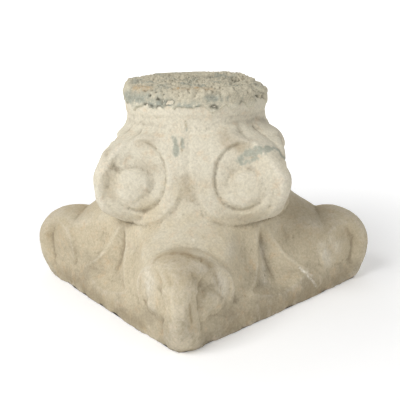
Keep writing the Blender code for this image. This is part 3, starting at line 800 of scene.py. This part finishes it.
class CAPITAL_OT_carve_stone(bpy.types.Operator):
    """Carve the stone from its sizes, join it into one block and weather it"""
    bl_idname = "capital.carve_stone"
    bl_label = "Carve the stone"

    def execute(self, context):
        s = context.scene.capital_stone
        parts = [closed_mesh("core", core_rings(s))]
        parts += [closed_mesh("corner", corner_rings(s, q)) for q in range(4)]
        stone = add_object("carved_stone", join_meshes("carved_stone", parts))
        remesh = stone.modifiers.new("one block", "REMESH")
        remesh.mode = "VOXEL"
        remesh.voxel_size = s.voxel
        soften = stone.modifiers.new("rubbed", "SMOOTH")
        soften.factor = 0.5
        soften.iterations = 2
        settle(stone)
        mesh = stone.data
        at, out = points_of(mesh)
        at = at + weather(s, at, out)
        put_points(mesh, at)
        thin = stone.modifiers.new("thin", "DECIMATE")
        triangles = sum(len(p.vertices) - 2 for p in mesh.polygons)
        thin.ratio = min(1.0, s.faces / triangles)
        settle(stone)
        mesh = stone.data
        at, out = points_of(mesh)
        at = np.clip(at, np.array(STONE_LOW) + INSET, np.array(STONE_HIGH) - INSET)
        put_points(mesh, at)
        mesh.shade_smooth()
        # Fine, middle and broad hollows, each by its share. The shader darkens them with dirt and
        # with painted shade in recesses
        keep_number(mesh, "hollow", sum(share * hollows(mesh, at, out, times)
                                        for share, times in ((0.5, 6), (0.3, 24), (0.35, 80))))
        streaks = grain(at * np.array([1, 1, 0.4]), 0.004, 3, 8.0)
        # Brown dirt and painted shade from the marks
        keep_number(mesh, "stain_and_shade", marked("dirt_and_painted_shade", at))
        keep_number(mesh, "film", np.clip(marked("film", at) * (1.0 + 1.2 * streaks), 0, 1))
        # Chalk scratches and painted highlights from the chalk marks
        keep_number(mesh, "rubbed", np.clip(marked("chalk_and_highlight", at) * (1.1 + streaks), 0, 1))
        mesh.materials.append(limestone(s))
        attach(stone, "root")
        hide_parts("capital")
        return {"FINISHED"}


class CAPITAL_OT_lay_crust(bpy.types.Operator):
    """Lay the uneven crust of old mortar on the neck's bed"""
    bl_idname = "capital.lay_crust"
    bl_label = "Lay the mortar crust"

    def execute(self, context):
        s, m = context.scene.capital_stone, context.scene.capital_mortar
        around = 460
        angle = np.linspace(0, 2 * pi, around, endpoint=False)
        ragged = grain(np.stack([0.12 * np.cos(angle), 0.12 * np.sin(angle), 0 * angle], axis=1),
                       0.030, 5, 9.0)
        edge = m.radius * (1 + 0.010 * np.sin(3 * angle + 0.6) + 0.006 * np.sin(7 * angle))
        low = CRUST_LOW[2]
        drop = m.drape * (0.85 + 0.80 * ragged) * (0.80 + 0.20 * np.cos(angle - m.front))
        lip, hang = low - 0.0005, 1.5 * m.drape
        rings = []

        def ring(reach, level):
            rings.append(np.stack([reach * np.cos(angle), reach * np.sin(angle),
                                   level + 0 * angle], axis=1))

        # Down inside the neck and up again on its face, proud of it as far down as the crust hangs
        ring(s.neck_radius - 0.004, low)
        for share in np.linspace(0.0, 1.0, 10):
            ring(s.neck_radius - 0.0022, lip - share * hang)
        for share in np.linspace(1.0, 0.0, 22):
            level = lip - share * hang
            proud = 0.0040 * step(drop - (low - level), -0.002, 0.002) - 0.0012
            ring(body_radius(s, 0 * angle, level + 0 * angle) + proud, level)
        # Up the crust's edge and in over its top, which is lower at the right corner
        tilt = m.tilt * np.cos(angle - m.thick_side)
        shelf = 0.50 * step(np.cos(angle - radians(45)), 0.76, 0.92)
        for share, rise in zip((1.024, 1.022, 1.018, 1.008, 0.993, 0.975),
                               (0.10, 0.28, 0.48, 0.66, 0.82, 0.94)):
            ring(edge * share, low + m.thickness * rise * np.maximum(1 + tilt - shelf, 0.2))
        for share in np.linspace(0.955, 0.02, 96):
            rise = curve(np.array([share]), [(0.0, 0.98), (0.5, 0.96), (0.75, 1.02), (0.96, 0.99)])
            full = 1 + tilt * share - shelf * step(share, 0.3, 0.8)
            ring(edge * share, low + m.thickness * rise[0] * full)
        crust = add_object("mortar_crust", closed_mesh("mortar_crust", np.array(rings)))
        mesh = crust.data
        at, out = points_of(mesh)
        # Trowelled across the view, in long ridges with torn holes towards the back
        across = at @ np.array([cos(m.front + pi / 2), sin(m.front + pi / 2), 0])
        ahead = at @ np.array([cos(m.front), sin(m.front), 0])
        laid = np.stack([0.22 * across, ahead, at[:, 2]], axis=1)
        ridge = grain(laid, 0.0055, 4, 6.0)
        lump = grain(at, 0.020, 3, 5.0)
        tear = grain(at, 0.007, 3, 10.0)
        top = step(at[:, 2], low + 0.002, low + 0.008)
        back = step(-ahead, -0.02, 0.05) * top
        hole = np.clip(tear - 0.15, 0, 0.6) * (0.35 + back)
        move = m.lumps * (0.75 * lump + 0.55 * (0.5 - np.abs(ridge)) * 2) * (0.35 + 0.65 * top)
        torn = marked("torn", at) * np.clip(1 + 1.5 * tear, 0.2, 1.6)
        move = move + m.grit * grain(at, 0.003, 2, 7.0) - 0.010 * hole * (0.4 + 0.6 * top)
        move = move + 0.5 * m.lumps * (0.5 - np.abs(grain(at, 0.008, 3, 12.0)) * 2) * (0.5 + top)
        # What lies inside the neck isn't moved, and what hangs down moves less
        outer = (np.hypot(at[:, 0], at[:, 1]) > s.neck_radius - 0.0015) | (at[:, 2] > low + 0.001)
        move = move * (0.30 + 0.70 * step(at[:, 2], low - 0.008, low + 0.001))
        at = at + out * ((move - m.tear * torn * (0.4 + 0.6 * top)) * outer)[:, None]
        at[:, :2] = np.clip(at[:, :2], np.array(STONE_LOW)[:2], np.array(STONE_HIGH)[:2])
        at[:, 2] = np.minimum(at[:, 2], CRUST_HIGH[2] - INSET)
        put_points(mesh, at)
        at, out = points_of(mesh)
        keep_number(mesh, "hollow", hollows(mesh, at, out, 8))
        patchy = 1 + 1.2 * grain(at, 0.006, 3, 11.0)
        keep_number(mesh, "washed",
                    1 - step(at[:, 2] + 0.006 * patchy - 0.006, low - 0.015, low - 0.006))
        for kind in ("dense", "warm"):
            keep_number(mesh, kind, np.clip(marked(kind, at) * patchy, 0, 1))
        # Torn holes darkened with painted shade and dirt
        keep_number(mesh, "torn", np.clip(torn, 0, 1))
        mesh.shade_smooth()
        mesh.materials.append(lime_mortar(m))
        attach(crust, "root")
        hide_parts("mortar_bed")
        return {"FINISHED"}


class CAPITAL_OT_set_stage(bpy.types.Operator):
    """Set the pale floor, the soft light and the camera at the photograph's angle"""
    bl_idname = "capital.set_stage"
    bl_label = "Set the stage"

    def execute(self, context):
        g = context.scene.capital_stage
        scene = context.scene
        a = g.azimuth
        ahead = Vector((sin(a), -cos(a), 0))
        right = Vector((cos(a), sin(a), 0))
        # The paper comes forward under the camera and bends up behind the object. It lies 0.4 mm
        # below the stone, so that the two don't share a plane
        near, bend, tall, half = 2.0, 0.5, 2.4, 4.0
        line = [(near, 0.0), *((-g.paper - bend * sin(t), bend - bend * cos(t))
                               for t in np.linspace(0, pi / 2, 16)), (-g.paper - bend, tall)]
        verts = [ahead * back + right * side + Vector((0, 0, up - 0.0004))
                 for back, up in line for side in (-half, half)]
        mesh = bpy.data.meshes.new("floor")
        mesh.from_pydata(verts, [], [(2 * i, 2 * i + 1, 2 * i + 3, 2 * i + 2)
                                     for i in range(len(line) - 1)])
        mesh.shade_smooth()
        mesh.materials.append(white_paper(g))
        add_object("floor", mesh)

        scene.world = bpy.data.worlds.new("studio")
        scene.world.use_nodes = True
        backdrop = scene.world.node_tree.nodes["Background"]
        backdrop.inputs["Color"].default_value = (1.0, 1.0, 1.0, 1.0)
        backdrop.inputs["Strength"].default_value = g.sky

        for name, power, size, where in (
                ("key", g.key, 1.0, ahead * 1.0 - right * 1.05 + Vector((0, 0, 1.45))),
                ("fill", g.fill, 1.2, ahead * 1.2 + right * 1.2 + Vector((0, 0, 0.9)))):
            light = bpy.data.lights.new(name, "AREA")
            light.energy = power
            light.size = size
            lamp = bpy.data.objects.new(name, light)
            scene.collection.objects.link(lamp)
            lamp.location = where
            lamp.rotation_euler = (Vector((0, 0, 0.15)) - where).to_track_quat(
                "-Z", "Y").to_euler()

        data = bpy.data.cameras.new("camera")
        data.lens = g.lens
        data.sensor_width = 36.0
        camera = bpy.data.objects.new("camera", data)
        scene.collection.objects.link(camera)
        eye = ahead * g.distance + Vector((0, 0, g.height))
        look = (right * g.shift + Vector((0, 0, g.aim)) - eye).normalized()
        level = look.cross(Vector((0, 0, 1))).normalized()
        up = level.cross(look)
        side = cos(g.roll) * level + sin(g.roll) * up
        top = -sin(g.roll) * level + cos(g.roll) * up
        turned = Matrix((side, top, -look)).transposed().to_4x4()
        turned.translation = eye
        camera.matrix_world = turned
        scene.camera = camera
        scene.view_settings.view_transform = "Standard"
        return {"FINISHED"}


class CAPITAL_PT_sidebar(bpy.types.Panel):
    """Lists the capital's pieces and their sizes"""
    bl_label = "Ionic capital"
    bl_idname = "CAPITAL_PT_sidebar"
    bl_space_type = "VIEW_3D"
    bl_region_type = "UI"
    bl_category = "Capital"

    def draw(self, context):
        for title, group, steps in PANEL:
            box = self.layout.box()
            box.label(text=title)
            for made in steps:
                box.operator(made.bl_idname)
            sizes = getattr(context.scene, group)
            for key in sizes.bl_rna.properties.keys():
                if key not in {"rna_type", "name"}:
                    box.prop(sizes, key)


PANEL = (("Stone", "capital_stone", (CAPITAL_OT_carve_stone,)),
         ("Mortar", "capital_mortar", (CAPITAL_OT_lay_crust,)),
         ("Stage", "capital_stage", (CAPITAL_OT_set_stage,)))
GROUPS = (("capital_stone", CapitalStone), ("capital_mortar", CapitalMortar),
          ("capital_stage", CapitalStage))
CLASSES = (*(group for _, group in GROUPS), CAPITAL_OT_carve_stone, CAPITAL_OT_lay_crust,
           CAPITAL_OT_set_stage, CAPITAL_PT_sidebar)


def register():
    for kind in CLASSES:
        bpy.utils.register_class(kind)
    for name, group in GROUPS:
        setattr(bpy.types.Scene, name, PointerProperty(type=group))


def unregister():
    for name, _ in GROUPS:
        delattr(bpy.types.Scene, name)
    for kind in reversed(CLASSES):
        bpy.utils.unregister_class(kind)


def main():
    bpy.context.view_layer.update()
    register()
    bpy.ops.capital.set_stage()
    bpy.ops.capital.carve_stone()
    bpy.ops.capital.lay_crust()


if __name__ == "__main__":
    main()
